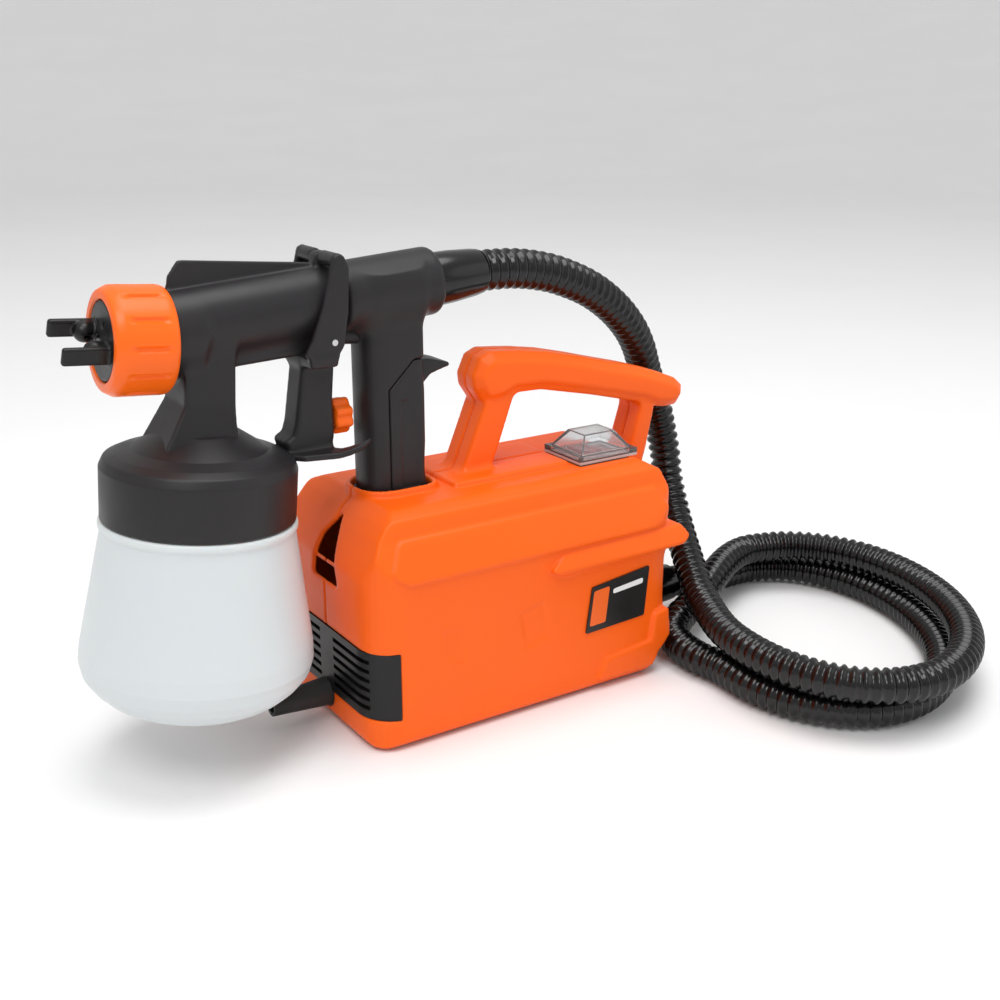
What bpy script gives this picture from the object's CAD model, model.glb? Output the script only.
"""Looks for the turbine paint sprayer with its hose and docked cup gun.

Numbers are millimetres in the construction frame that the part's source uses: x = 0 is the base's
front face, +X runs to the rear, -Y is the label's side and z = 0 is the floor. placed() turns them
into the row frame. Moulded shapes are signed distance fields, meshed by mould().
"""

import math

import bpy
import numpy as np
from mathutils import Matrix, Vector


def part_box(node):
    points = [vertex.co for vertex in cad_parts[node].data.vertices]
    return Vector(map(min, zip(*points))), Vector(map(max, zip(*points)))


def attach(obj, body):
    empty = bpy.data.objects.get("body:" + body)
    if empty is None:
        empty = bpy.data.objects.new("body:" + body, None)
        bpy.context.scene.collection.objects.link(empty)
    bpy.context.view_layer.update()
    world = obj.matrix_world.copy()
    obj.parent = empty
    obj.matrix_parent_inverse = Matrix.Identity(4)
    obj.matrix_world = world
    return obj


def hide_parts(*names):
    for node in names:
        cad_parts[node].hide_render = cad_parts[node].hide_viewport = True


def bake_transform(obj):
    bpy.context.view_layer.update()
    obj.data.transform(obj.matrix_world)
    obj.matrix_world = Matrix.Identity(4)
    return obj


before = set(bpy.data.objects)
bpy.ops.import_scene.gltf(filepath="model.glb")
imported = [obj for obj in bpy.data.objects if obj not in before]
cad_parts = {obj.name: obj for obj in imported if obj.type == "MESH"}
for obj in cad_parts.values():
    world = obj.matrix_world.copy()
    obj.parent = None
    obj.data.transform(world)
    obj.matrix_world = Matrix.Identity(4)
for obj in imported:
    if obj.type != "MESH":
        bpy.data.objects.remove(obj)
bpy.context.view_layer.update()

MM = 0.001
FRAME_X = 57.1  # where the row frame's origin lies behind the base's front face
NOSE = np.array([-108.8, 0.0, 228.8])  # origin of the nose frame and the tube frame
NOSE_TILT = math.radians(4.9)  # the nose frame's x axis sinks towards the rear
TUBE_TILT = math.radians(-4.15)  # the tube frame's x axis rises towards the rear
CUP_X = 49.2  # the cup's axis in the nose frame

CAMERA_SPOT = (-283.8, -606.3, 352.9)
CAMERA_LENS, SENSOR_WIDTH = 46.81, 36
CAMERA_PITCH, CAMERA_TURN = math.radians(71.4), math.radians(-33.4)

# The floor is a bowl, in metres: flat round the object, then curved up on every side.
FLAT_RADIUS, SWEEP, FLOOR_Z = 3.2, 1.8, -0.0004
SPOKES, RINGS = 64, 12

# Lamps: name, place and aim in metres, diameter in metres, watts.
LAMPS = (
    ("key", (-0.9, -0.9, 1.9), (0.05, 0, 0.1), 1.0, 15),
    ("fill", (1.6, -1.4, 1.0), (0.1, 0, 0.1), 1.6, 3),
    ("top", (0.2, -0.1, 2.0), (0.1, 0, 0.1), 1.4, 19),
)
WORLD_STRENGTH = 0.66


# ---------- frames ----------

def placed(points):
    """Construction millimetres to row frame metres."""
    return (np.asarray(points, float) - [FRAME_X, 0, 0]) * MM


def from_local(points, tilt):
    """Points of the nose frame or the tube frame, in the construction frame."""
    p = np.asarray(points, float)
    c, s = math.cos(tilt), math.sin(tilt)
    return NOSE + np.stack([p[..., 0] * c + p[..., 2] * s, p[..., 1], -p[..., 0] * s + p[..., 2] * c], -1)


def to_local(x, z, tilt):
    """Arrays of x and z in the nose frame or the tube frame."""
    c, s = math.cos(tilt), math.sin(tilt)
    dx, dz = x - NOSE[0], z - NOSE[2]
    return dx * c - dz * s, dx * s + dz * c


# ---------- camera, light and floor ----------

def make_camera(scene):
    cam = bpy.data.objects.new("camera", bpy.data.cameras.new("camera"))
    cam.data.lens, cam.data.sensor_width = CAMERA_LENS, SENSOR_WIDTH
    cam.data.clip_start, cam.data.clip_end = 0.01, 50
    cam.location = placed(CAMERA_SPOT)
    cam.rotation_euler = (CAMERA_PITCH, 0, CAMERA_TURN)
    scene.collection.objects.link(cam)
    scene.camera = cam


def floor_paper():
    mat = bpy.data.materials.new("floor_paper")
    mat.use_nodes = True
    nodes, links = mat.node_tree.nodes, mat.node_tree.links
    shader = nodes["Principled BSDF"]
    shader.inputs["Roughness"].default_value = 0.7
    grain = nodes.new("ShaderNodeTexNoise")
    grain.inputs["Scale"].default_value = 40
    ramp = nodes.new("ShaderNodeValToRGB")
    ramp.color_ramp.elements[0].color = (0.86, 0.86, 0.86, 1)
    ramp.color_ramp.elements[1].color = (0.9, 0.9, 0.9, 1)
    links.new(grain.outputs["Fac"], ramp.inputs["Fac"])
    links.new(ramp.outputs["Color"], shader.inputs["Base Color"])
    return mat


def make_floor(scene):
    rings = [(FLAT_RADIUS + SWEEP * math.sin(t), FLOOR_Z + SWEEP * (1 - math.cos(t)))
             for t in np.linspace(0, math.pi / 2, RINGS)]
    verts = [(r * math.cos(a), r * math.sin(a), z) for r, z in rings
             for a in np.arange(SPOKES) * 2 * math.pi / SPOKES]
    middle = tuple(range(SPOKES))
    faces = [middle]
    for i in range(RINGS - 1):
        for k in range(SPOKES):
            inner, outer = i * SPOKES, (i + 1) * SPOKES
            k2 = (k + 1) % SPOKES
            faces.append((outer + k, outer + k2, inner + k2, inner + k))
    mesh = bpy.data.meshes.new("floor")
    mesh.from_pydata(verts, [], faces)
    mesh.shade_smooth()
    floor = bpy.data.objects.new("floor", mesh)
    scene.collection.objects.link(floor)
    mesh.materials.append(floor_paper())


def make_light(scene):
    world = bpy.data.worlds.new("studio")
    world.use_nodes = True
    world.node_tree.nodes["Background"].inputs["Color"].default_value = (1, 1, 1, 1)
    world.node_tree.nodes["Background"].inputs["Strength"].default_value = WORLD_STRENGTH
    scene.world = world
    for name, spot, aim, size, power in LAMPS:
        lamp = bpy.data.lights.new(name, "AREA")
        lamp.shape, lamp.size, lamp.energy = "DISK", size, power
        obj = bpy.data.objects.new(name, lamp)
        obj.location = spot
        dx, dy, dz = np.array(aim) - np.array(spot)
        lean = math.atan2(math.hypot(dx, dy), -dz)
        obj.rotation_euler = (lean, 0, math.atan2(dy, dx) - math.pi / 2)
        scene.collection.objects.link(obj)
    scene.view_settings.view_transform = "Standard"


# ---------- materials ----------

def material(name, color, rough=0.45, grain=900.0, bump=0.05, spread=0.04, metal=0.0, **sockets):
    """A procedural material: fine moulded grain, slight changes of tone and roughness."""
    mat = bpy.data.materials.new(name)
    mat.use_nodes = True
    nodes, links = mat.node_tree.nodes, mat.node_tree.links
    shader = nodes["Principled BSDF"]
    shader.inputs["Metallic"].default_value = metal
    for key, value in sockets.items():
        shader.inputs[key.replace("_", " ")].default_value = value
    place = nodes.new("ShaderNodeTexCoord")

    def noise(scale, detail):
        n = nodes.new("ShaderNodeTexNoise")
        n.inputs["Scale"].default_value = scale
        n.inputs["Detail"].default_value = detail
        links.new(place.outputs["Object"], n.inputs["Vector"])
        return n

    def ramp(source, low, high):
        r = nodes.new("ShaderNodeValToRGB")
        r.color_ramp.elements[0].position, r.color_ramp.elements[1].position = 0.3, 0.7
        r.color_ramp.elements[0].color, r.color_ramp.elements[1].color = (*low, 1), (*high, 1)
        links.new(source.outputs["Fac"], r.inputs["Fac"])
        return r

    tone = ramp(noise(14, 3), [c * (1 - spread) for c in color], [min(1, c * (1 + spread)) for c in color])
    links.new(tone.outputs["Color"], shader.inputs["Base Color"])
    gloss = ramp(noise(60, 4), [rough - 0.04] * 3, [rough + 0.05] * 3)
    links.new(gloss.outputs["Color"], shader.inputs["Roughness"])
    if bump:
        relief = nodes.new("ShaderNodeBump")
        relief.inputs["Strength"].default_value = bump
        relief.inputs["Distance"].default_value = 0.0003
        links.new(noise(grain, 2).outputs["Fac"], relief.inputs["Height"])
        links.new(relief.outputs["Normal"], shader.inputs["Normal"])
    return mat


make_camera(bpy.context.scene)
make_floor(bpy.context.scene)
make_light(bpy.context.scene)

ORANGE = material("orange_plastic", (0.97, 0.125, 0.002), 0.42, 1400, 0.06, 0.02, Specular_IOR_Level=0.3)
NUT = material("orange_gloss", (0.98, 0.14, 0.004), 0.33, 1400, 0.03, 0.02, Specular_IOR_Level=0.35)
GREY = material("charcoal_plastic", (0.018, 0.0165, 0.018), 0.42, 1500, 0.07, 0.06, Specular_IOR_Level=0.32)
DARK = material("dark_plastic", (0.006, 0.006, 0.0065), 0.35, 1200, 0.04, 0.08, Specular_IOR_Level=0.35)
HOSE = material("hose_pvc", (0.003, 0.003, 0.0032), 0.19, 500, 0.03, 0.1, Specular_IOR_Level=0.45)
RUBBER = material("rubber", (0.015, 0.015, 0.015), 0.6, 900, 0.15, 0.1)
CUP = material("cup_hdpe", (0.7, 0.71, 0.715), 0.36, 500, 0.03, 0.01, Subsurface_Weight=0.1)
WHITE = material("white_plastic", (0.8, 0.8, 0.8), 0.4, 700, 0.03, 0.02)
CLEAR = material("clear_plastic", (0.93, 0.95, 0.96), 0.1, 600, 0.02, 0.01,
                 Transmission_Weight=0.92, IOR=1.45)
PALE = material("pale_plastic", (0.5, 0.5, 0.5), 0.35, 700, 0.03, 0.02)
RED = material("switch_red", (0.35, 0.012, 0.008), 0.3, 800, 0.03, 0.03)
STEEL = material("turned_steel", (0.62, 0.62, 0.63), 0.28, 2500, 0.12, 0.05, 1.0)
ALLOY = material("alloy", (0.7, 0.7, 0.7), 0.35, 1800, 0.1, 0.04, 1.0)
COPPER = material("copper_wire", (0.7, 0.27, 0.12), 0.35, 3000, 0.4, 0.08, 1.0)
BRASS = material("brass", (0.75, 0.5, 0.18), 0.3, 1500, 0.08, 0.05, 1.0)
IRON = material("laminations", (0.12, 0.12, 0.13), 0.5, 4000, 0.3, 0.1, 0.8)
FOAM = material("filter_foam", (0.12, 0.12, 0.12), 0.9, 1500, 0.9, 0.3)
LABEL = material("label_black", (0.012, 0.011, 0.011), 0.3, 300, 0.02, 0.05)
BLOCK = material("label_orange", (0.85, 0.13, 0.01), 0.35, 300, 0.02, 0.03)


# ---------- meshes ----------

def piece(name, verts, faces, body, mat, replaces=(), normals=None, angle=35):
    """A mesh piece from construction millimetres, with its material, body and replaced CAD nodes."""
    mesh = bpy.data.meshes.new(name)
    faces = faces.tolist() if isinstance(faces, np.ndarray) else faces
    mesh.from_pydata(placed(verts).tolist(), [], faces)
    mesh.update()
    mesh.shade_smooth()
    if normals is not None:
        mesh.normals_split_custom_set_from_vertices(normals.tolist())
    else:
        mesh.set_sharp_from_angle(angle=math.radians(angle))
    mesh.materials.append(mat)
    obj = bpy.data.objects.new(name, mesh)
    bpy.context.scene.collection.objects.link(obj)
    if body:
        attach(obj, body)
    if replaces:
        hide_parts(*replaces)
    return obj


def rounded(points, radii, steps=4, closed=True):
    """A polygon or open profile with its corners rounded; radii is one number or one per corner."""
    pts = [np.array(p, float) for p in points]
    n = len(pts)
    radii = [radii] * n if np.isscalar(radii) else radii
    out = []
    for i, p in enumerate(pts):
        if not radii[i] or (not closed and i in (0, n - 1)):
            out.append(p)
            continue
        a, b = pts[i - 1] - p, pts[(i + 1) % n] - p
        la, lb = np.linalg.norm(a), np.linalg.norm(b)
        turn = math.acos(np.clip(a @ b / (la * lb), -1, 1))
        if turn > 3.1:
            out.append(p)
            continue
        cut = min(radii[i] / math.tan(turn / 2), 0.49 * la, 0.49 * lb)
        start, end = p + a / la * cut, p + b / lb * cut
        for t in np.linspace(0, 1, steps + 1):
            out.append((1 - t) ** 2 * start + 2 * t * (1 - t) * p + t * t * end)
    return np.array(out)


def lathe(name, profile, tilt, axis, body, mat, replaces=(), segments=96,
          centre=(0, 0, 0), shape=None):
    """A closed profile of (along, radius) turned about the frame's x or z axis.

    shape(along, angle, radius) adds to the radius. tilt None means the construction frame.
    """
    profile = np.asarray(profile, float)
    n = len(profile)
    angles = np.arange(segments) * 2 * math.pi / segments
    along = np.repeat(profile[:, 0][None], segments, 0)
    radius = np.repeat(profile[:, 1][None], segments, 0).copy()
    if shape:
        radius += shape(along, angles[:, None], radius)
    c, s = np.cos(angles)[:, None] * radius, np.sin(angles)[:, None] * radius
    local = np.stack([along, c, s], -1) if axis == "x" else np.stack([c, s, along], -1)
    local = local.reshape(-1, 3) + centre
    verts = local if tilt is None else from_local(local, tilt)
    k, i = np.meshgrid(np.arange(segments), np.arange(n), indexing="ij")
    k2, i2 = (k + 1) % segments, (i + 1) % n
    faces = np.stack([k * n + i, k2 * n + i, k2 * n + i2, k * n + i2], -1).reshape(-1, 4)
    a, b, c = (verts[faces[:, corner]] for corner in range(3))
    facing_out = np.einsum("ij,ij->i", np.cross(b - a, c - a), a - verts.mean(0)).sum()
    if facing_out < 0:
        faces = faces[:, ::-1]
    piece(name, verts, faces, body, mat, replaces)


# ---------- signed distance fields ----------

def inside(points, u, v):
    """Signed distance to a closed polygon in two coordinates, negative inside."""
    pts = np.asarray(points, float)
    best, sign = None, 1.0
    for a, b in zip(pts, np.roll(pts, 1, 0)):
        e, wu, wv = b - a, u - a[0], v - a[1]
        t = np.clip((wu * e[0] + wv * e[1]) / (e @ e), 0, 1)
        d = (wu - e[0] * t) ** 2 + (wv - e[1] * t) ** 2
        best = d if best is None else np.minimum(best, d)
        above, below, left = v >= a[1], v < b[1], e[0] * wv > e[1] * wu
        sign = sign * np.where((above & below & left) | (~above & ~below & ~left), -1.0, 1.0)
    return sign * np.sqrt(best)


def both(a, b, r=0.0):
    """Intersection of two fields, with the edge rounded to r."""
    if not r:
        return np.maximum(a, b)
    return np.minimum(np.maximum(a, b), -r) + np.hypot(np.maximum(a + r, 0), np.maximum(b + r, 0))


def either(a, b, r=0.0):
    """Union of two fields, with a fillet of r."""
    return -both(-a, -b, r)


def minus(a, b, r=0.0):
    """Field a with field b cut out of it, with the edge rounded to r."""
    return both(a, -b, r)


def between(v, low, high):
    """Field of a slab from low to high."""
    return np.maximum(low - v, v - high)


def mould(name, field, low, high, step, body, mat, replaces=(), tilt=None):
    """Meshes where field(x, y, z) is zero by surface nets, with normals from the field's slope."""
    low = np.asarray(low, float)
    count = np.ceil((np.asarray(high, float) - low) / step).astype(int) + 1
    x, y, z = (low[i] + step * np.arange(count[i]) for i in range(3))
    f = field(x[:, None, None], y[None, :, None], z[None, None, :])
    f = np.broadcast_to(f, count).astype(np.float32)
    sign = f < 0

    # One vertex in each cell that the surface passes, at the mean of the edges' crossings.
    corners = np.array([(i, j, k) for i in (0, 1) for j in (0, 1) for k in (0, 1)])
    filled = sum(sign[i:count[0] - 1 + i, j:count[1] - 1 + j, k:count[2] - 1 + k].astype(np.int8)
                 for i, j, k in corners)
    active = (filled > 0) & (filled < 8)
    cells = np.argwhere(active)
    number = np.full(active.shape, -1, np.int64)
    number[active] = np.arange(len(cells))
    total, hits = np.zeros((len(cells), 3)), np.zeros(len(cells))
    for a in corners:
        for axis in range(3):
            if a[axis]:
                continue
            b = a.copy()
            b[axis] = 1
            fa, fb = f[tuple((cells + a).T)], f[tuple((cells + b).T)]
            cross = (fa < 0) != (fb < 0)
            t = np.where(cross, fa / np.where(cross, fa - fb, 1), 0)
            total += np.where(cross[:, None], a + t[:, None] * (b - a), 0)
            hits += cross
    points = cells + total / hits[:, None]
    slopes = np.stack(np.gradient(f), -1)

    # Each vertex is then moved along the slope on to the surface, which gives its normal too.
    def sample(values, p):
        base = np.clip(np.floor(p).astype(int), 0, count - 2)
        part = p - base
        out = 0
        for a in corners:
            weight = np.prod(np.where(a, part, 1 - part), 1)
            out = out + values[tuple((base + a).T)] * (weight[:, None] if values.ndim > 3 else weight)
        return out

    for _ in range(2):
        slope = sample(slopes, points)
        move = (sample(f, points) / np.maximum((slope ** 2).sum(1), 1e-6))[:, None] * slope
        points -= np.clip(move, -0.4, 0.4)
    slope = sample(slopes, points)
    normals = slope / np.maximum(np.linalg.norm(slope, axis=1, keepdims=True), 1e-9)

    # One quad round each grid edge that the surface crosses.
    faces = []
    for axis in range(3):
        u, v = [i for i in range(3) if i != axis]
        lo = np.moveaxis(sign, axis, 0)[:-1]
        hi = np.moveaxis(sign, axis, 0)[1:]
        change = np.moveaxis(lo != hi, 0, axis)
        start = np.moveaxis(lo, 0, axis)
        at = np.argwhere(change)
        at = at[(at[:, u] > 0) & (at[:, v] > 0)]
        at = at[(at[:, u] < count[u] - 1) & (at[:, v] < count[v] - 1)]
        eu, ev = np.eye(3, dtype=int)[u], np.eye(3, dtype=int)[v]
        quad = np.stack([number[tuple((at + o).T)] for o in (-eu - ev, -ev, 0 * eu, -eu)], 1)
        # u and v are x and z for axis 1, which turns the quad round.
        flip = start[tuple(at.T)] if axis != 1 else ~start[tuple(at.T)]
        faces.append(np.where(flip[:, None], quad, quad[:, ::-1]))
    faces = np.concatenate(faces)
    verts = low + points * step
    if tilt is not None:
        verts, normals = from_local(verts, tilt), from_local(normals, tilt) - NOSE
    piece(name, verts, faces[(faces >= 0).all(1)], body, mat, replaces, normals)


# ---------- hose ----------

HOSE_RADIUS, RIB_DEPTH, RIB_PITCH = 9.3, 0.9, 6.0
SWELL, SWELL_END = 1.3, 250  # the hose is thicker beside the gun, up to this far along it
HOSE_SIDES = 28
TURN_LONG, TURN_SHORT, TURN_LEAN = 109, 76, math.radians(60)


def on_turn(centre, angles):
    """Points of one turn on the floor: an ellipse whose long axis leans from x."""
    t = np.radians(angles)
    u, v = TURN_LONG * np.cos(t), TURN_SHORT * np.sin(t)
    c, s = math.cos(TURN_LEAN), math.sin(TURN_LEAN)
    return [[centre[0] + a * c - b * s, centre[1] + a * s + b * c, centre[2]] for a, b in zip(u, v)]


# The route in three stretches; on_turn() gives the two turns between them.
DROP = [[102, 0, 244.2], [110, 0, 244.2], [124, 0, 243.7], [140, 1, 241.3], [158, 2, 236.5],
        [182, 5, 226.5], [204, 10, 213], [222, 16, 198], [234, 21, 184], [243, 26, 170], [251, 29, 155],
        [258, 30, 140], [263, 30, 124], [266, 28, 107], [266, 24, 90], [264, 15, 74], [259, 2, 61],
        [252, -14, 50], [244, -31, 41], [236, -48, 35]]
OVER = [[320, 6.5, 31], [303, 0.5, 31], [286, -8, 29.5], [268, -17.5, 25.5], [250, -25, 20],
        [233, -30.5, 15.5], [220, -40, 12], [213.5, -56, 10.7], [212, -74, 10.4]]
END = [[323, 19.5, 10.6], [307, 17.5, 11.8], [292, 14.5, 14], [278, 10, 17.5], [266, 5.4, 21.6],
       [257, 1.6, 25.2], [249, 0, 27]]


def spline(points, per_span):
    """A Catmull-Rom curve through the points."""
    p = np.array([points[0], *points, points[-1]], float)
    p[0], p[-1] = 2 * p[1] - p[2], 2 * p[-2] - p[-3]
    out = []
    for a, b, c, d in zip(p, p[1:], p[2:], p[3:]):
        for t in np.arange(per_span) / per_span:
            out.append(0.5 * (2 * b + (c - a) * t + (2 * a - 5 * b + 4 * c - d) * t * t
                              + (3 * b - a - 3 * c + d) * t ** 3))
    return np.array([*out, p[-2]])


def evenly(curve, step):
    """The curve's points at even steps, and how far along it each one is."""
    travel = np.concatenate([[0], np.cumsum(np.linalg.norm(np.diff(curve, axis=0), axis=1))])
    s = np.linspace(0, travel[-1], int(travel[-1] / step) + 1)
    return np.stack([np.interp(s, travel, curve[:, i]) for i in range(3)], 1), s


# Each turn's middle and the angles of its points.
UPPER_TURN = ((299, -95, 31), range(105, 376, 18))
LOWER_TURN = ((298, -81, 10.4), range(118, 371, 18))


def make_hose():
    """The ribbed hose, from the gun's cuff down, round two turns and back to the outlet."""
    route = DROP + on_turn(*UPPER_TURN) + OVER + on_turn(*LOWER_TURN) + END
    line, s = evenly(spline(route, 16), RIB_PITCH / 6)
    along = np.gradient(line, axis=0)
    along /= np.linalg.norm(along, axis=1, keepdims=True)
    side = np.cross(along, [1, 0, 1])
    side /= np.linalg.norm(side, axis=1, keepdims=True)
    up = np.cross(along, side)
    near_gun = np.clip(1 - s / SWELL_END, 0, 1)
    ribs = np.clip(1.3 * np.cos(2 * math.pi * s / RIB_PITCH), -1, 1)
    radius = HOSE_RADIUS + SWELL * near_gun + RIB_DEPTH * ribs
    ring = HOSE_SIDES
    a = np.arange(ring) * 2 * math.pi / ring
    outward = np.cos(a)[:, None] * side[:, None] + np.sin(a)[:, None] * up[:, None]
    verts = line[:, None] + radius[:, None, None] * outward
    n = len(line)
    i, k = np.meshgrid(np.arange(n - 1), np.arange(ring), indexing="ij")
    k2 = (k + 1) % ring
    this, after = i * ring, (i + 1) * ring
    quads = np.stack([this + k, this + k2, after + k2, after + k], -1).reshape(-1, 4)
    first_end = list(range(ring))[::-1]
    last_end = [(n - 1) * ring + j for j in range(ring)]
    faces = quads.tolist() + [first_end, last_end]
    hose = piece("hose", verts.reshape(-1, 3), faces, None, HOSE, ["air_hose"], angle=70)
    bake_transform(hose)


make_hose()

# ---------- base housing ----------

SIDE = [(3, 1.5), (0, 4.5), (0, 96), (4, 107), (9, 118), (14, 125), (22, 131), (190, 131), (198, 126),
        (206, 110), (205, 98), (210, 89), (207, 77), (199, 73), (199, 47), (201, 41), (200, 23),
        (191, 15), (188, 1.5)]
END_HALF = [(53, 0), (58, 5), (58, 96), (49.5, 117), (47.5, 127), (38, 131)]
LEGS = [(76, 116), (99, 171), (104, 180), (128, 180), (180, 172), (223, 158), (222, 150), (217, 127),
        (212, 110), (205, 98), (190, 98), (170, 116)]
BAR = [(99, 171), (93, 180), (92, 187), (97, 197.5), (104, 200.5), (125, 198.5), (144, 195.5),
       (165, 190.5), (180, 186.5), (205, 180), (225, 174), (240, 168), (245.5, 163), (245.5, 157),
       (241, 151), (233, 150.5), (223, 152), (213, 156.5), (174, 166.5), (138, 174.5), (119, 175),
       (112, 172)]
FINGER_GAP = [(97, 118), (109, 148), (119, 175), (138, 174.5), (174, 166.5), (213, 156.5), (201, 118)]
RIB = [(110, 84), (121, 91.5), (207, 93), (212, 86), (205, 81), (122, 78)]
REAR_FOOT = [(146, 6), (152, 20), (186, 23), (188, 40), (199, 42), (201, 24), (192, 12), (188, 6)]
BAND = [(12, 100), (22, 94.5), (197, 94.5), (200, 104), (192, 117), (20, 117)]
PANELS = [[(43, 64), (56, 61), (55, 42), (44, 47)], [(92, 62), (108, 66), (112, 44), (96, 40)]]
V_RECESS = [(-15, 0), (15, 0), (9, 24), (-4, 40)]
SCREWS = [(34, 11, 26), (120, 11, 26), (126, 118, 26), (110, 188.5, 9), (230, 162.5, 9)]
GRIP_FRONT, GRIP_BACK, GRIP_HALF = 24.5, 60, 15
GRIP_PLAN = rounded([(GRIP_FRONT, -GRIP_HALF), (GRIP_BACK, -GRIP_HALF), (GRIP_BACK, GRIP_HALF),
                     (GRIP_FRONT, GRIP_HALF)], [GRIP_HALF, 6, 6, GRIP_HALF], 8)
BASE_LENGTH, BASE_HALF = 210, 58
BASE_PLAN = rounded([(0, -BASE_HALF), (BASE_LENGTH, -BASE_HALF), (BASE_LENGTH, BASE_HALF), (0, BASE_HALF)],
                    [22, 30, 30, 22], 8)
BAR_HALF, LEG_HALF, BEVEL, WALL = 14, 11.5, 5.5, 3.0
BAND_PROUD, PANEL_DEPTH = 1.6, 0.9
RIB_ROOT, FOOT_HALF = 58.2, 59.6  # half-widths where the side rib starts and at the rear foot
PAD_TOP, COLLAR_TOP = 133.5, 134.2  # the raised pad in front of the switch and the rim round the well
V_LEAN, V_Z = math.radians(17), 84  # the front slope with its recess, and the recess's lower end
WELL_FLOOR, WELL_GAP = 85.5, 2.8  # the well in the deck that holds the gun's grip
SWITCH_X, SWITCH_Y, SWITCH_Z = (152.2, 193.8), (-29.8, 5.8), (110, 145)
GRILLE_BACK, GRILLE_Z = 15.9, (18.1, 56.9)
OUTLET_Z, OUTLET_RADIUS, OUTLET_FRONT = 27, 16.5, 180
CORD_Y, CORD_Z, CORD_RADIUS, CORD_BACK = 3, 15, 8.4, 12
SCREW_RADIUS = 4.4
SEAM_GAP = 0.25


def bevelled(outline, y, half, bevel):
    """A plate of half-width half whose edges are bevelled, as the handle's bar is."""
    wide = np.abs(y) - half
    return both(both(outline, wide, 0.5), (outline + wide + bevel) / math.sqrt(2), 0.5)


def side_rib(x, z, wide):
    """The rib along the side, with a gently sloping top and a steeper underside."""
    top = (wide - RIB_ROOT - 0.45 * (93 - z)) * 0.91
    under = (wide - RIB_ROOT - 0.9 * (z - 77.5)) * 0.74
    return both(inside(rounded(RIB, 1.5), x, z), both(top, under, 0.4), 0.4)


def housing_outside(x, y, z):
    """The closed box of the base with its bands, ribs, panels, collar, front recess and legs."""
    ends = END_HALF + [(-a, b) for a, b in END_HALF[::-1]]
    side = inside(rounded(SIDE, 2), x, z)
    end = inside(ends, y, z)
    plan = inside(BASE_PLAN, x, y)
    shell = both(both(side, end, 1.2), plan, 1.5)
    hollow = shell + WALL
    wide = np.abs(y)
    band = both(both(inside(rounded(BAND, 4), x, z), end - BAND_PROUD, 0.4), plan - BAND_PROUD, 0.4)
    shell = either(shell, band, 0.5)
    shell = either(shell, both(side_rib(x, z, wide), side - 2.0), 0.8)
    rear_foot = both(inside(rounded(REAR_FOOT, 2), x, z), wide - FOOT_HALF, 1.2)
    shell = either(shell, both(rear_foot, side - 1.2), 0.8)
    for panel in PANELS:
        shell = minus(shell, both(inside(panel, x, z), BASE_HALF - PANEL_DEPTH - wide), 0.4)
    deck_pad = both(between(x, 70, 148), both(wide - 25, z - PAD_TOP, 1.5), 1.5)
    shell = either(shell, deck_pad, 1.0)
    collar = np.abs(inside(GRIP_PLAN, x, y) - 4.2) - 1.7
    shell = either(shell, both(collar, between(z, 120, COLLAR_TOP), 1.0), 1.2)
    c, s = math.cos(V_LEAN), math.sin(V_LEAN)
    lean_x, lean_z = x * c - (z - V_Z) * s, x * s + (z - V_Z) * c
    recess = both(inside(rounded(V_RECESS, 2), y, lean_z), lean_x - 7, 1.0)
    shell = minus(shell, recess, 1.2)
    ledge = both(both(between(y, -15, 13), between(lean_z, 10, 13)), between(lean_x, -1.5, 9), 0.5)
    shell = either(shell, ledge, 0.8)
    legs = both(inside(rounded(LEGS, 3), x, z), wide - LEG_HALF, 2.0)
    legs = minus(legs, inside(rounded(FINGER_GAP, 6), x, z), 2.0)
    return either(shell, legs, 4), hollow


def housing(x, y, z):
    """Both halves of the housing, hollow, with the handle's bar and every opening."""
    outside, hollow = housing_outside(x, y, z)
    shell = minus(outside, hollow)
    shell = either(shell, bevelled(inside(rounded(BAR, 1.2), x, z), y, BAR_HALF, BEVEL), 1.0)
    well = np.maximum(inside(GRIP_PLAN, x, y) - WELL_GAP, WELL_FLOOR - z)
    switch = np.maximum(between(x, *SWITCH_X), np.maximum(between(y, *SWITCH_Y), between(z, *SWITCH_Z)))
    grille = np.maximum(x - GRILLE_BACK, between(z, *GRILLE_Z))
    outlet = np.maximum(np.hypot(y, z - OUTLET_Z) - OUTLET_RADIUS, OUTLET_FRONT - x)
    cord = np.maximum(np.hypot(y - CORD_Y, z - CORD_Z) - CORD_RADIUS, x - CORD_BACK)
    for opening in (well, switch, grille, outlet, cord):
        shell = minus(shell, opening)
    for sx, sz, seat in SCREWS:
        shell = minus(shell, np.maximum(np.hypot(x - sx, z - sz) - SCREW_RADIUS, seat - y))
    return shell


def make_housing_half(name, side):
    """One half of the housing: side is 1 on the label's side and -1 on the other."""
    low_y, high_y = (-63, 1.5) if side > 0 else (-1.5, 63)
    left_has_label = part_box("left_housing")[0][1] < -0.05
    node = "left_housing" if left_has_label == (side > 0) else "right_housing"
    mould(name, lambda x, y, z: both(housing(x, y, z), SEAM_GAP + side * y, 0.3),
          (-3, low_y, -1), (249, high_y, 204), 1.3, "base", ORANGE, [node])


make_housing_half("housing_label_side", 1)
make_housing_half("housing_rear_side", -1)


# ---------- gun ----------

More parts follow.
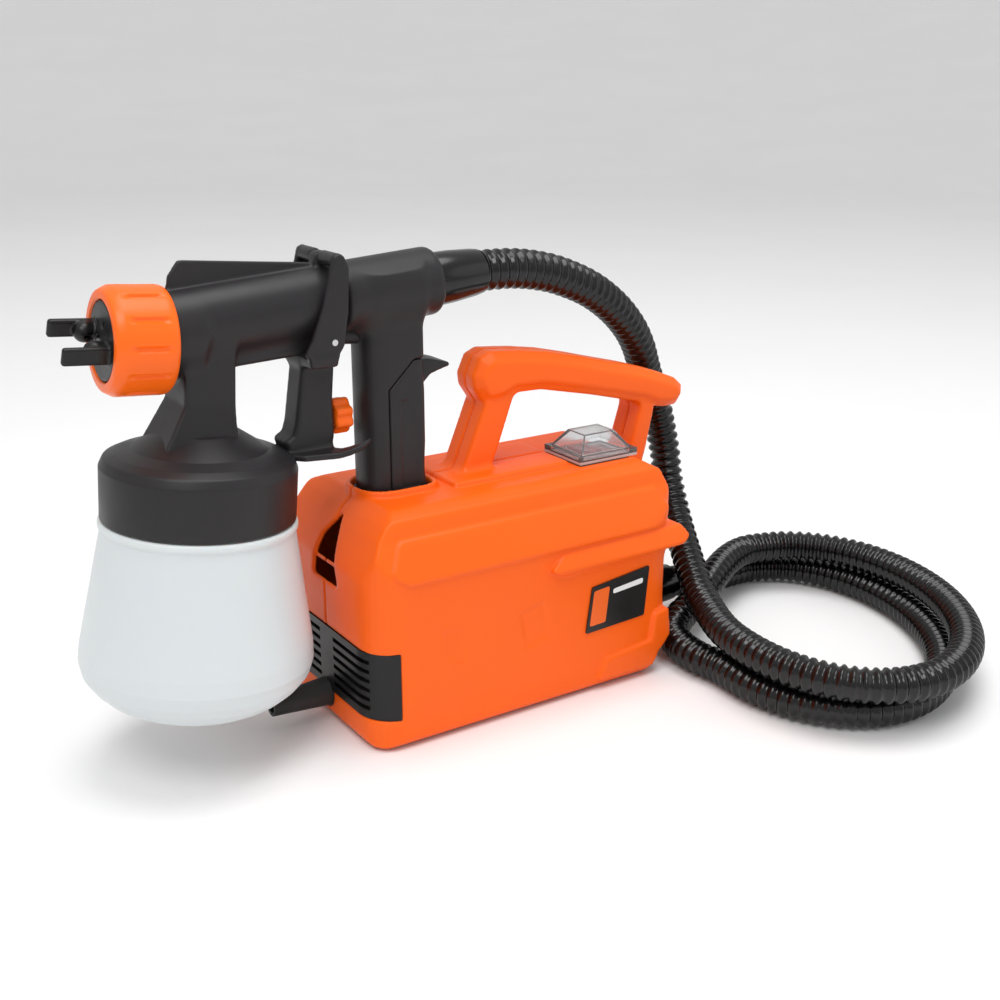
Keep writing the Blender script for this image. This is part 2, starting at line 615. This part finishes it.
FIN = [(30, 10), (32, 30), (37, 38), (110, 37.4), (110, 24), (60, 10)]
WEB = [(28, 8), (28, -12), (60, -14), (106, -8), (106, 12)]
NECK = [(36, 5), (36, -31), (18, -66), (65, -66), (62.5, -40), (61.5, 5)]
INSERT = [(36.5, 60), (36.5, 188), (52, 203), (90, 203), (90, 60)]
HOOK = [(50, 188), (54, 203), (66, 201), (76, 198.2), (76.5, 196.2), (70, 194.6), (64, 192.8), (58, 187)]
YOKE = [(2.6, 259), (3.4, 262), (6, 263), (9, 262), (11.6, 256), (10.5, 235), (7.5, 217), (3, 210.5),
        (-8, 210.5), (-14.5, 214), (-10, 221), (-4, 236)]
LEVER = [(-10, 208), (-12.5, 192), (-15, 176), (-17, 170), (-22, 167), (-20, 162), (5, 159), (7, 168),
         (6.5, 186), (8.5, 208), (5, 212), (-8, 212)]
BLADE = [(-23, -8), (-15, -17), (2, -21.5), (16, -21), (24, -18.5), (20, -17.5), (8, -14), (5, -9),
         (5, 9), (8, 14), (20, 17.5), (24, 18.5), (16, 21), (2, 21.5), (-15, 17), (-23, 8)]
LUG = [(1.5, 248), (1.5, 260.6), (4, 262.6), (8, 262.6), (10.5, 260.6), (10.5, 248)]
TUBE_RADIUS, TUBE_START, SEAM, TUBE_END = 18.3, 31, 122, 181
HOSE_BORE, HOSE_BORE_START = 13.2, 160
NEEDLE_BORE = 4.2
GRIP_FOOT = 92
SEAM_HALF = 0.3  # half the gap between the two bodies of the gun
HINGE_X, HINGE_Z = 6, 259.6


def tube_coords(x, z):
    """Nose frame arrays to tube frame arrays."""
    turn = TUBE_TILT - NOSE_TILT
    c, s = math.cos(turn), math.sin(turn)
    return x * c - z * s, x * s + z * c


def to_construction(x, z):
    """Nose frame arrays to construction x and z."""
    c, s = math.cos(NOSE_TILT), math.sin(NOSE_TILT)
    return NOSE[0] + x * c + z * s, NOSE[2] - x * s + z * c


def front_body(x, y, z):
    """Barrel, web, neck, fin and hinge lug, in the nose frame."""
    tx, tz = tube_coords(x, z)
    wide = np.abs(y)
    tube = both(np.hypot(y, tz) - TUBE_RADIUS, between(tx, TUBE_START, SEAM - SEAM_HALF), 0.8)
    core = both(np.hypot(y, z) - 18.4, between(x, 5, 45), 1.0)
    barrel = either(tube, core, 6)
    web = both(inside(WEB, x, z), wide - 9.5, 3)
    flare = 4.5 * np.clip((-31 - z) / 32, 0, 1)
    neck = both(inside(rounded(NECK, 2), x, z), wide - 15 - flare, 1.5)
    body = either(either(barrel, web, 4), neck, 3.5)
    fin = both(inside(rounded(FIN, 3), x, z), wide - 1.6, 0.5)
    body = either(body, fin, 1.2)
    boss = both(np.hypot(y, z) - 8, between(x, 100, 117), 1.0)
    body = either(body, boss, 3)
    back_x, back_z = to_construction(x, z)
    body = either(body, both(inside(rounded(LUG, 2), back_x, back_z), wide - 4, 0.5), 1)
    body = np.maximum(body, np.maximum(-z - 65, 5 - x))
    bore = np.maximum(np.hypot(y, z) - NEEDLE_BORE, -x)
    return minus(body, bore)


mould("gun_front", front_body, (3, -30, -67), (126, 30, 45), 1.1, "gun", GREY, ["front_body"],
      tilt=NOSE_TILT)


def grip(x, y, z):
    """The grip's outer shape with the grooves on its back, before the insert is split off."""
    plan = inside(GRIP_PLAN, x, y)
    grooves = 1.3 * np.clip(np.sin((z - 128) / 9.2), -0.2, 1) * np.clip((z - 134) / 6, 0, 1) * (z < 203)
    rear = x - GRIP_BACK + np.maximum(grooves, 0)
    return both(both(plan, rear, 3), between(z, GRIP_FOOT, 250), 1.5)


def rear_body(x, y, z):
    """The tube behind the seam and the grip's front, in the construction frame."""
    tx, tz = to_local(x, z, TUBE_TILT)
    tube = both(np.hypot(y, tz) - TUBE_RADIUS, between(tx, SEAM + SEAM_HALF, TUBE_END), 4)
    hold = minus(grip(x, y, z), inside(INSERT, x, z) - 0.35, 0.5)
    hold = both(hold, tz - 8)
    body = either(tube, hold, 7)
    body = np.maximum(body, SEAM + SEAM_HALF - tx)
    bore = np.maximum(np.hypot(y, tz) - HOSE_BORE, HOSE_BORE_START - tx)
    return minus(body, bore)


mould("gun_rear", rear_body, (5, -24, 90), (84, 24, 268), 1.1, "gun", GREY, ["rear_body"])


def grip_pad(x, y, z):
    """The grip's rear insert with its sunk panel and the hook above it."""
    pad = both(grip(x, y, z), inside(INSERT, x, z), 0.6)
    panel = inside(rounded([(43, 132), (54, 132), (54, 166), (47.5, 182), (43, 182)], 1.5), x, z)
    pad = minus(pad, both(panel, 14.1 - np.abs(y)), 0.3)
    hook = both(inside(rounded(HOOK, 1), x, z), np.abs(y) - 11, 1.5)
    return either(pad, hook, 1.5)


mould("grip_rear_insert", grip_pad, (34, -17, 90), (79, 17, 207), 1.0, "gun", GREY,
      ["grip_insert"])


def trigger(x, y, z):
    """Two yoke plates, the bridge between them, the lever, its foot and the hinge sleeve."""
    wide = np.abs(y)
    plates = both(inside(rounded(YOKE, 2), x, z), np.abs(wide - 20.8) - 1.6, 0.7)
    lever = both(inside(rounded(LEVER, 2.5), x, z), wide - 9, 3)
    bridge = both(both(between(x, -11.5, 4), between(z, 206.5, 212.8), 2), wide - 22.2, 1.5)
    dish = z - 159.5 - 0.012 * (x - 2) ** 2 * (x > 2)
    blade = both(inside(rounded(BLADE, 2), x, y), np.abs(dish) - 1.7, 1.0)
    sleeve = both(np.hypot(x - HINGE_X, z - HINGE_Z) - 3.7, between(wide, 4.7, 20.5))
    whole = either(either(either(plates, sleeve, 1), bridge, 2.5), lever, 4)
    whole = either(whole, blade, 3)
    for row in range(5):
        whole = minus(whole, both(np.hypot(x - 7.4, z - 168.5 - 3.8 * row) - 1.3, 5.5 - wide), 0.4)
    return whole


mould("trigger_lever_piece", trigger, (-26, -27, 154), (36, 27, 266), 0.95, "trigger_lever", GREY,
      ["trigger"])


CAP_LEAN = math.radians(22)
CAP_HOLE, EAR_FRONT = 3.4, -21.5


def air_cap(x, y, z):
    """The disk with two drilled horns and two ears, in the nose frame, turned by CAP_LEAN."""
    c, s = math.cos(CAP_LEAN), math.sin(CAP_LEAN)
    y, z = y * c + z * s, z * c - y * s
    wide, r = np.abs(y), np.hypot(y, z)
    disk = both(r - 19.2, between(x, 0.4, 4), 0.8)
    flange = both(r - 21.5, between(x, 2.6, 4), 0.3)
    dome = both(np.sqrt((x - 10) ** 2 + y ** 2 + z ** 2) - 12, x - 4)
    horns = np.sqrt((x + 5.5) ** 2 + (wide - 8.5) ** 2 + z ** 2) - 5
    stems = both(np.hypot(wide - 9.5, z) - 4.6, between(x, -5.5, 2), 0.5)
    ears = both(both(np.abs(wide - 12.7) - 1.7, np.abs(z) - 4.6, 1.2), between(x, EAR_FRONT, 1), 1.5)
    whole = either(either(either(disk, dome, 2), either(horns, stems, 1), 1.5), ears, 1.2)
    whole = either(whole, flange)
    for lean in (0.9, 0.35):
        ax, ay = math.sin(lean), math.cos(lean)
        across = (x + 6.5) * ay - (7 - wide) * ax
        along = (x + 6.5) * ax + (7 - wide) * ay
        whole = minus(whole, np.maximum(np.hypot(across, z) - 0.9, np.abs(along - 2) - 3.5), 0.2)
    for side in (-1, 1):
        whole = minus(whole, np.maximum(np.hypot(y, z - 8.5 * side) - 1.2, np.abs(x) - 3), 0.2)
    return minus(whole, np.maximum(r - CAP_HOLE, np.abs(x) - 9), 0.3)


mould("air_cap_piece", air_cap, (-27, -23, -23), (6, 23, 23), 0.62, "spray_cap", DARK,
      ["air_cap"], tilt=NOSE_TILT)


def nut_grooves(along, angle, radius):
    """Twelve shallow finger grooves that stop short of both ends."""
    window = np.clip((along - 6.5) / 2.5, 0, 1) * np.clip((26 - along) / 2.5, 0, 1)
    return -1.1 * window * np.clip(np.cos(12 * angle) - 0.8, 0, 0.12) / 0.12 * (radius > 24)


def knob_lobes(along, angle, radius):
    """Seven lobes round the flow knob's outside."""
    return 0.85 * np.cos(7 * angle) * (radius > 3)


NUT_PROFILE = [(30, 22), (30, 25), (29.2, 25.9), (28, 26.3),
               *[(along, 26.5) for along in np.arange(26.5, 5, -1.5)],
               (4.4, 26.4), (1.4, 24.9), (0.4, 24.3), (0, 23.6), (0, 20.2),
               (0.8, 19.6), (2.2, 19.6), (2.2, 22)]
KNOB_PROFILE = [(8, 2.1), (8, 7.6), (8.6, 8.6), (9.6, 9), (16.4, 9), (17.5, 8.4), (18, 7.4), (18, 2.1)]
GUN_CUFF = [(165, 0), (165, 13), (180, 14.0), (184, 14.4), (192, 14.2), (206, 13.0), (210.6, 12.2),
            (210.9, 11.4), (210.9, 0)]
BASE_CUFF = [(190.5, 0), (190.5, 12.6), (204, 12.8), (204.2, 14.4), (207.8, 14.4), (208.2, 13),
             (230, 12.8), (244, 12.2), (248.6, 11.8), (249, 11), (249, 0)]
KNOB_Z = 175.5

lathe("cap_nut_piece", NUT_PROFILE, NOSE_TILT, "x", "ring_nut", NUT, ["cap_nut"], 288,
      shape=nut_grooves)
lathe("flow_knob_piece", KNOB_PROFILE, None, "x", "flow_control", NUT, ["flow_knob"], 112,
      (0, 0, KNOB_Z), knob_lobes)
lathe("gun_cuff", GUN_CUFF, TUBE_TILT, "x", "gun", HOSE, ["hose_gun_cuff"])
lathe("base_cuff", BASE_CUFF, None, "x", "base", HOSE, ["hose_base_cuff"],
      centre=(0, 0, OUTLET_Z))


# ---------- cup and lid ----------

OUT = [(-190, 0), (-189, 22), (-190, 30), (-190, 34), (-188.5, 41), (-184.5, 48), (-179, 54),
       (-173, 58.5), (-166, 60.2), (-158, 59.6), (-96, 48.8), (-94.6, 50.0), (-91.2, 50.0),
       (-90.9, 45.4), (-72, 45.4)]
IN = [(-72, 43.6), (-92, 43.8), (-97, 46.8), (-158, 57.6), (-166, 58.2), (-172, 56.8), (-178, 52.4),
      (-183.4, 46.4), (-186.8, 39.6), (-188, 33), (-188, 0)]
CUP_PROFILE = [*rounded(OUT, 3, 3, False), *rounded(IN, 3, 3, False)]
LID = [(-90.4, 47.6), (-90.4, 49), (-64, 49.2), (-59.5, 47.2), (-57, 42), (-54.5, 34), (-46, 20), (-46, 0)]
LID_IN = [(-68, 0), (-68, 44), (-71, 46), (-89, 46.6)]
LID_PROFILE = [*rounded(LID, 2.5, 4, False), *LID_IN]

lathe("cup_shell", CUP_PROFILE, NOSE_TILT, "z", "cup", CUP, ["paint_cup"], 128, (CUP_X, 0, 0))
lathe("lid_shell", LID_PROFILE, NOSE_TILT, "z", "gun", GREY, ["cup_lid"], 128, (CUP_X, 0, 0))


# ---------- label ----------

def plate(name, corners, face, thick, mat, replaces=()):
    """A thin plate on the label side: corners are (x, z), face is how far it stands out along -Y."""
    c = rounded(corners, 1.2, 3)
    n = len(c)
    verts = [(a, -face, b) for a, b in c] + [(a, -face + thick, b) for a, b in c]
    faces = [list(range(n)), list(range(n, 2 * n))[::-1]]
    faces += [[i, i + n, (i + 1) % n + n, (i + 1) % n] for i in range(n)]
    piece(name, verts, faces, "base", mat, replaces)


PLATE_FACE, PRINT_FACE = 58.6, 58.7
PLATE_THICK, PRINT_THICK = 0.7, 0.3
plate("label_plate", [(137, 39), (180, 41), (183, 72), (141, 67)], PLATE_FACE, PLATE_THICK,
      LABEL, ["rating_label"])
plate("label_block", [(139.5, 43), (151, 43.6), (153.6, 65.5), (142.4, 64.4)], PRINT_FACE, PRINT_THICK,
      BLOCK)
plate("label_bar", [(156, 60), (178, 62), (178.4, 65.4), (156.4, 63)], PRINT_FACE, PRINT_THICK,
      WHITE)


# ---------- materials of the CAD nodes that are shown ----------

FINISHES = {
    "fluid_nozzle": ALLOY, "brush_holders": BRASS, "field_coils": COPPER, "commutator": COPPER,
    "motor_stator": IRON, "armature": IRON, "carbon_brushes": IRON, "intake_filter": FOAM,
    "needle": STEEL, "link_pins": STEEL, "hinge_pin": STEEL, "needle_spring": STEEL,
    "housing_screws": STEEL, "flow_screw": STEEL, "motor_shaft": STEEL,
    "front_bearing": STEEL, "rear_bearing": STEEL,
    "fan_housing": GREY, "impeller": GREY, "motor_frame": GREY, "air_duct": GREY, "needle_guide": GREY,
    "rubber_feet": RUBBER, "cord_gland": RUBBER, "body_seal": RUBBER, "lid_gasket": RUBBER,
    "needle_packing": RUBBER,
    "intake_grille": DARK, "outlet_socket": DARK, "gun_dock": DARK, "pickup_tube": WHITE,
    "switch_body": PALE, "switch_rocker": RED, "switch_cover": CLEAR,
}
for node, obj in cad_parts.items():
    if node in FINISHES:
        obj.data.materials.clear()
        obj.data.materials.append(FINISHES[node])
        for polygon in obj.data.polygons:
            polygon.material_index = 0
